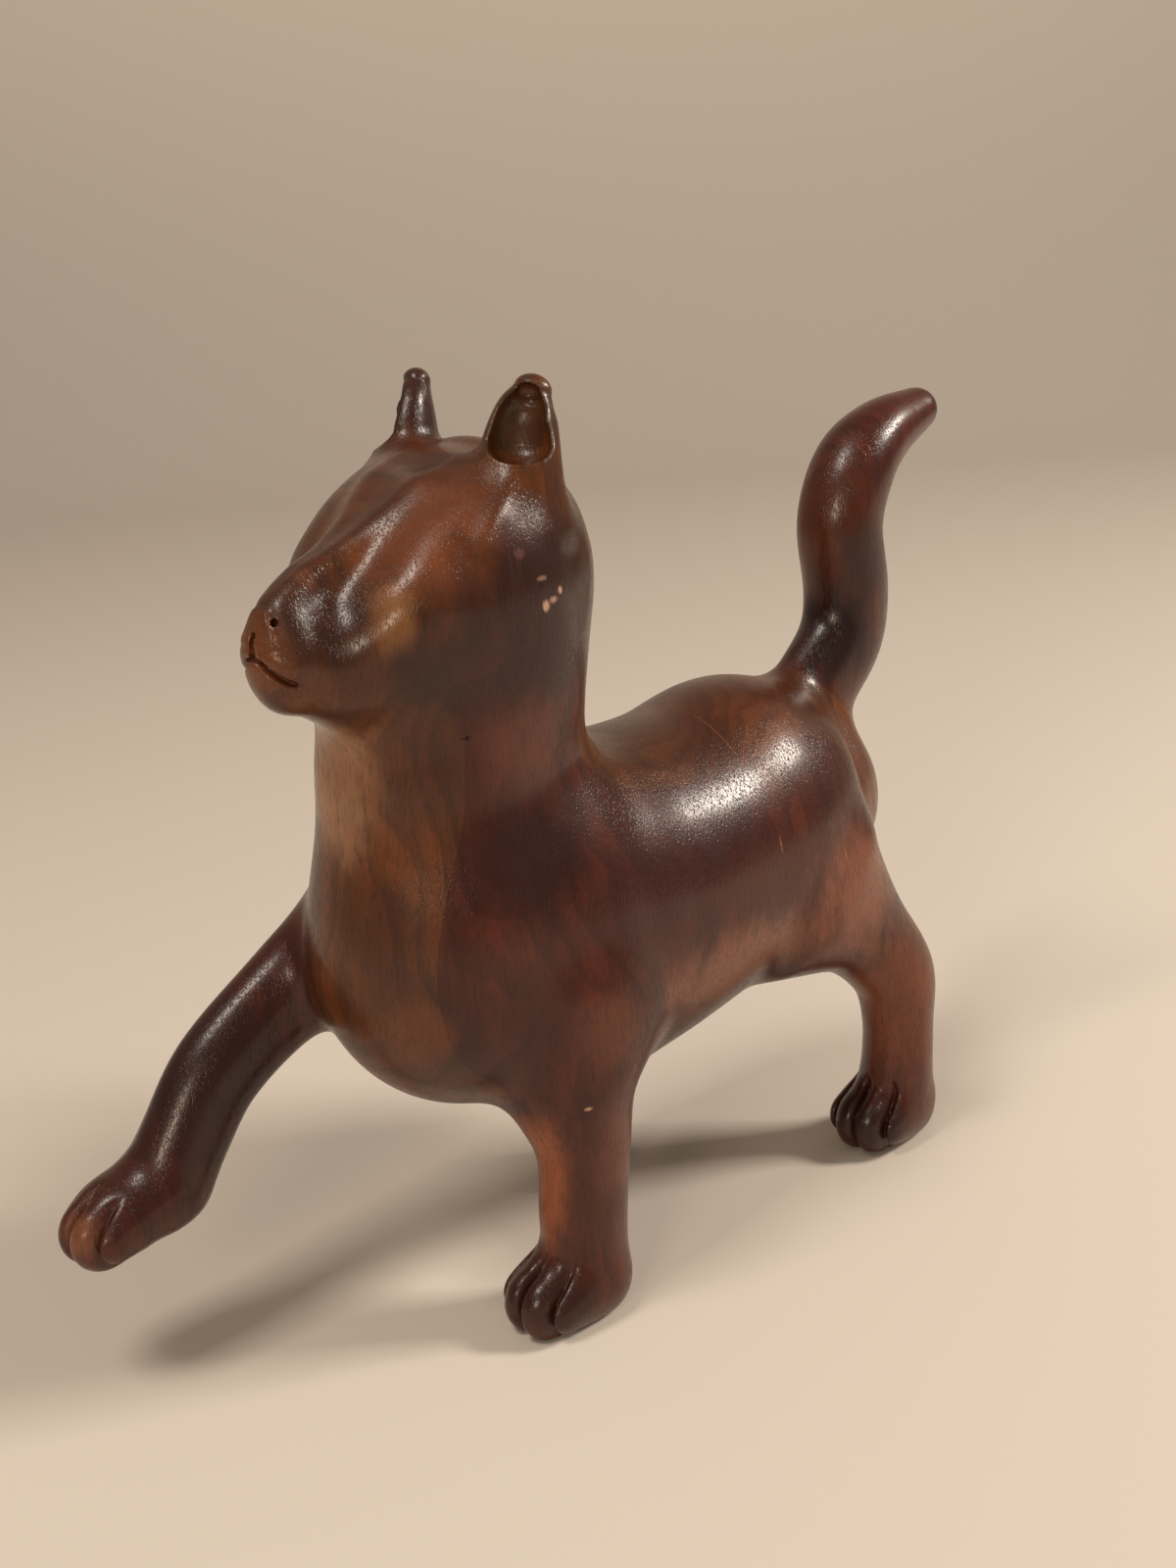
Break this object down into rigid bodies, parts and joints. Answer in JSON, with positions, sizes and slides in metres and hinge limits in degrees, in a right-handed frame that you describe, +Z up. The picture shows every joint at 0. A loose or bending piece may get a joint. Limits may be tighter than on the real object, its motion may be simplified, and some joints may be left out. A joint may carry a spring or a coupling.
{
  "type": "carved wooden cat figurine",
  "caption": "Walking cat carved from lacquered dark red-brown wood, one forepaw raised, tail up, pieced from boards and let-in limbs on hidden dowels.",
  "frame": {"origin": "middle of the figure's bounding box on the surface it stands on", "axes": "+Z up; the cat looks and walks along -Y, its tail is at +Y; +X is the cat's left side"},
  "size_m": [0.0659, 0.2181, 0.1797],
  "materials": {
    "golden_mahogany": "gloss lacquer over stained, curly-figured mahogany-type hardwood",
    "red_mahogany": "gloss lacquer over stained, straight-grained mahogany-type hardwood",
    "mahogany": "gloss lacquer over stained mahogany-type hardwood",
    "beech": "bare turned beech, hidden inside the joints"
  },
  "bodies": {
    "root": {"head": "golden_mahogany", "core_board": "golden_mahogany", "left_side_board": "red_mahogany", "right_side_board": "red_mahogany", "left_foreleg": "mahogany", "right_foreleg": "red_mahogany", "left_hind_leg": "mahogany", "right_hind_leg": "mahogany", "tail": "red_mahogany", "neck_dowel": "beech", "chest_dowel": "beech", "rump_dowel": "beech", "left_foreleg_dowel": "beech", "right_foreleg_dowel": "beech", "left_hind_leg_dowel": "beech", "right_hind_leg_dowel": "beech", "tail_dowel": "beech"}
  },
  "joints": []
}
